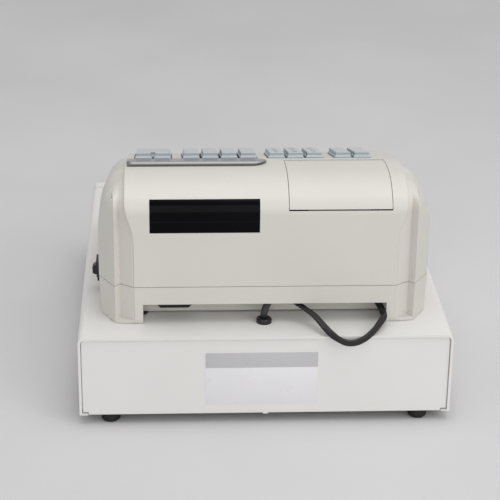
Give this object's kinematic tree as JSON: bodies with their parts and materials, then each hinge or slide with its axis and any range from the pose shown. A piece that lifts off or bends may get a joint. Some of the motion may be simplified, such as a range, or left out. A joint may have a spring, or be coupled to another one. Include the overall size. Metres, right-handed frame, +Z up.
{
  "type": "electronic cash register with cash drawer",
  "caption": "Small electronic cash register standing on a steel cash drawer with tray, lock and slides; receipt printer, two displays and sprung keys; a flat cable joins register and drawer.",
  "frame": {"origin": "middle of the footprint of the drawer with its lock collar, at counter level; the cable's overhang is not counted", "axes": "+X to the operator's right, +Y from the operator to the customer, +Z up"},
  "size_m": [0.35, 0.4152, 0.2297],
  "materials": {
    "drawer_paint": "fine off-white powder coat",
    "zinc_steel": "zinc-coated sheet",
    "foot_rubber": "black rubber",
    "insert_plastic": "black moulding",
    "clip_steel": "pressed steel",
    "lock_chrome": "polished",
    "lock_plug_chrome": "polished",
    "coil": "lacquered winding on a steel bracket",
    "cable_jacket": "flat black jacket",
    "black_plastic": "black moulding",
    "housing_plastic": "fine-grained warm white",
    "window_tint": "dark smoked acrylic",
    "lens_tint": "smoked grey acrylic",
    "board_green": "green board with display tube",
    "rocker_plastic": "black rocker",
    "frame_plastic": "dark grey moulding",
    "platen_rubber": "ground rubber on a steel shaft",
    "paper": "plain white paper",
    "blade_steel": "toothed stainless strip",
    "supply": "laminated core",
    "key_plastic": "grey keycap"
  },
  "bodies": {
    "base": {"drawer_case": "drawer_paint", "drawer_rear_panel": "drawer_paint", "drawer_base": "zinc_steel", "drawer_feet": "foot_rubber", "slide_rails": "zinc_steel", "solenoid": "coil", "cable_grommet": "foot_rubber", "drawer_cable": "cable_jacket", "cable_plug": "black_plastic", "lower_housing": "housing_plastic", "upper_housing": "housing_plastic", "customer_window": "window_tint", "operator_lens": "lens_tint", "display_modules": "board_green", "switch_body": "black_plastic", "printer_frame": "frame_plastic", "key_frame": "frame_plastic", "main_board": "board_green", "power_supply": "supply", "mains_inlet": "black_plastic", "cable_jack": "black_plastic", "register_feet": "foot_rubber"},
    "drawer": {"drawer_tray": "zinc_steel", "drawer_front": "drawer_paint", "cash_insert": "insert_plastic", "lock_body": "lock_chrome"},
    "lock_plug": {"lock_cylinder": "lock_plug_chrome"},
    "latch": {"latch_lever": "zinc_steel"},
    "rocker": {"switch_rocker": "rocker_plastic"},
    "cover": {"printer_cover": "housing_plastic", "tear_bar": "blade_steel"},
    "platen": {"platen_roller": "platen_rubber"},
    "roll": {"paper_roll": "paper"},
    "clip_1": {"bill_clip_1": "clip_steel"},
    "clip_2": {"bill_clip_2": "clip_steel"},
    "clip_3": {"bill_clip_3": "clip_steel"},
    "clip_4": {"bill_clip_4": "clip_steel"},
    "key_0_body": {"key_0": "key_plastic"},
    "key_00_body": {"key_00": "key_plastic"},
    "key_point_body": {"key_point": "key_plastic"},
    "key_1_body": {"key_1": "key_plastic"},
    "key_2_body": {"key_2": "key_plastic"},
    "key_3_body": {"key_3": "key_plastic"},
    "key_4_body": {"key_4": "key_plastic"},
    "key_5_body": {"key_5": "key_plastic"},
    "key_6_body": {"key_6": "key_plastic"},
    "key_7_body": {"key_7": "key_plastic"},
    "key_8_body": {"key_8": "key_plastic"},
    "key_9_body": {"key_9": "key_plastic"},
    "check_key_body": {"check_key": "key_plastic"},
    "charge_key_body": {"charge_key": "key_plastic"},
    "subtotal_key_body": {"subtotal_key": "key_plastic"},
    "credit_key_body": {"credit_key": "key_plastic"},
    "cash_key_body": {"cash_key": "key_plastic"},
    "department_keys_1_body": {"department_keys_1": "key_plastic"},
    "department_keys_2_body": {"department_keys_2": "key_plastic"},
    "department_keys_3_body": {"department_keys_3": "key_plastic"},
    "department_keys_4_body": {"department_keys_4": "key_plastic"},
    "function_keys_1_body": {"function_keys_1": "key_plastic"},
    "function_keys_2_body": {"function_keys_2": "key_plastic"}
  },
  "joints": [
    {"name": "drawer_slide", "type": "slide", "parent": "base", "child": "drawer", "axis": [0, -1, 0], "range_m": [0, 0.3]},
    {"name": "bill_clip_1_lift", "type": "hinge", "parent": "drawer", "child": "clip_1", "pos_m": [-0.12037, 0.1433, 0.0452], "axis": [-1, 0, 0], "range_deg": [0, 60]},
    {"name": "bill_clip_2_lift", "type": "hinge", "parent": "drawer", "child": "clip_2", "pos_m": [-0.04012, 0.1433, 0.0452], "axis": [-1, 0, 0], "range_deg": [0, 60]},
    {"name": "bill_clip_3_lift", "type": "hinge", "parent": "drawer", "child": "clip_3", "pos_m": [0.04013, 0.1433, 0.0452], "axis": [-1, 0, 0], "range_deg": [0, 60]},
    {"name": "bill_clip_4_lift", "type": "hinge", "parent": "drawer", "child": "clip_4", "pos_m": [0.12038, 0.1433, 0.0452], "axis": [-1, 0, 0], "range_deg": [0, 60]},
    {"name": "lock_turn", "type": "hinge", "parent": "drawer", "child": "lock_plug", "pos_m": [0, -0.2015, 0.052], "axis": [0, -1, 0], "range_deg": [0, 90]},
    {"name": "latch_swing", "type": "hinge", "parent": "base", "child": "latch", "pos_m": [-0.02, 0.183, 0.03], "axis": [0, 0, 1], "range_deg": [0, 12]},
    {"name": "rocker_tilt", "type": "hinge", "parent": "base", "child": "rocker", "pos_m": [0.15523, 0.0931, 0.1134], "axis": [0, 1, 0], "range_deg": [0, 20]},
    {"name": "cover_lift", "type": "hinge", "parent": "base", "child": "cover", "pos_m": [-0.0684, 0.1686, 0.207], "axis": [-1, 0, 0], "range_deg": [0, 95]},
    {"name": "platen_turn", "type": "hinge", "parent": "cover", "child": "platen", "pos_m": [-0.0684, 0.0981, 0.21489], "axis": [1, 0, 0], "continuous": true},
    {"name": "roll_turn", "type": "hinge", "parent": "base", "child": "roll", "pos_m": [-0.0684, 0.1351, 0.1843], "axis": [1, 0, 0], "continuous": true},
    {"name": "key_0_press", "type": "slide", "parent": "base", "child": "key_0_body", "axis": [0, 0.28, -0.96], "range_m": [0, 0.003], "stiffness_N_per_m": 150, "springref_m": -0.0015},
    {"name": "key_00_press", "type": "slide", "parent": "base", "child": "key_00_body", "axis": [0, 0.28, -0.96], "range_m": [0, 0.003], "stiffness_N_per_m": 150, "springref_m": -0.0015},
    {"name": "key_point_press", "type": "slide", "parent": "base", "child": "key_point_body", "axis": [0, 0.28, -0.96], "range_m": [0, 0.003], "stiffness_N_per_m": 150, "springref_m": -0.0015},
    {"name": "key_1_press", "type": "slide", "parent": "base", "child": "key_1_body", "axis": [0, 0.28, -0.96], "range_m": [0, 0.003], "stiffness_N_per_m": 150, "springref_m": -0.0015},
    {"name": "key_2_press", "type": "slide", "parent": "base", "child": "key_2_body", "axis": [0, 0.28, -0.96], "range_m": [0, 0.003], "stiffness_N_per_m": 150, "springref_m": -0.0015},
    {"name": "key_3_press", "type": "slide", "parent": "base", "child": "key_3_body", "axis": [0, 0.28, -0.96], "range_m": [0, 0.003], "stiffness_N_per_m": 150, "springref_m": -0.0015},
    {"name": "key_4_press", "type": "slide", "parent": "base", "child": "key_4_body", "axis": [0, 0.28, -0.96], "range_m": [0, 0.003], "stiffness_N_per_m": 150, "springref_m": -0.0015},
    {"name": "key_5_press", "type": "slide", "parent": "base", "child": "key_5_body", "axis": [0, 0.28, -0.96], "range_m": [0, 0.003], "stiffness_N_per_m": 150, "springref_m": -0.0015},
    {"name": "key_6_press", "type": "slide", "parent": "base", "child": "key_6_body", "axis": [0, 0.28, -0.96], "range_m": [0, 0.003], "stiffness_N_per_m": 150, "springref_m": -0.0015},
    {"name": "key_7_press", "type": "slide", "parent": "base", "child": "key_7_body", "axis": [0, 0.28, -0.96], "range_m": [0, 0.003], "stiffness_N_per_m": 150, "springref_m": -0.0015},
    {"name": "key_8_press", "type": "slide", "parent": "base", "child": "key_8_body", "axis": [0, 0.28, -0.96], "range_m": [0, 0.003], "stiffness_N_per_m": 150, "springref_m": -0.0015},
    {"name": "key_9_press", "type": "slide", "parent": "base", "child": "key_9_body", "axis": [0, 0.28, -0.96], "range_m": [0, 0.003], "stiffness_N_per_m": 150, "springref_m": -0.0015},
    {"name": "check_key_press", "type": "slide", "parent": "base", "child": "check_key_body", "axis": [0, 0.28, -0.96], "range_m": [0, 0.003], "stiffness_N_per_m": 150, "springref_m": -0.0015},
    {"name": "charge_key_press", "type": "slide", "parent": "base", "child": "charge_key_body", "axis": [0, 0.28, -0.96], "range_m": [0, 0.003], "stiffness_N_per_m": 150, "springref_m": -0.0015},
    {"name": "subtotal_key_press", "type": "slide", "parent": "base", "child": "subtotal_key_body", "axis": [0, 0.28, -0.96], "range_m": [0, 0.003], "stiffness_N_per_m": 150, "springref_m": -0.0015},
    {"name": "credit_key_press", "type": "slide", "parent": "base", "child": "credit_key_body", "axis": [0, 0.28, -0.96], "range_m": [0, 0.003], "stiffness_N_per_m": 150, "springref_m": -0.0015},
    {"name": "cash_key_press", "type": "slide", "parent": "base", "child": "cash_key_body", "axis": [0, 0.28, -0.96], "range_m": [0, 0.003], "stiffness_N_per_m": 150, "springref_m": -0.0015},
    {"name": "department_keys_1_press", "type": "slide", "parent": "base", "child": "department_keys_1_body", "axis": [0, 0.28, -0.96], "range_m": [0, 0.003], "stiffness_N_per_m": 150, "springref_m": -0.0015},
    {"name": "department_keys_2_press", "type": "slide", "parent": "base", "child": "department_keys_2_body", "axis": [0, 0.28, -0.96], "range_m": [0, 0.003], "stiffness_N_per_m": 150, "springref_m": -0.0015},
    {"name": "department_keys_3_press", "type": "slide", "parent": "base", "child": "department_keys_3_body", "axis": [0, 0.28, -0.96], "range_m": [0, 0.003], "stiffness_N_per_m": 150, "springref_m": -0.0015},
    {"name": "department_keys_4_press", "type": "slide", "parent": "base", "child": "department_keys_4_body", "axis": [0, 0.28, -0.96], "range_m": [0, 0.003], "stiffness_N_per_m": 150, "springref_m": -0.0015},
    {"name": "function_keys_1_press", "type": "slide", "parent": "base", "child": "function_keys_1_body", "axis": [0, 0.28, -0.96], "range_m": [0, 0.003], "stiffness_N_per_m": 150, "springref_m": -0.0015},
    {"name": "function_keys_2_press", "type": "slide", "parent": "base", "child": "function_keys_2_body", "axis": [0, 0.28, -0.96], "range_m": [0, 0.003], "stiffness_N_per_m": 150, "springref_m": -0.0015}
  ],
  "couplings": [
    {"joint": "platen_turn", "follows": "roll_turn", "ratio": 5.4545}
  ]
}
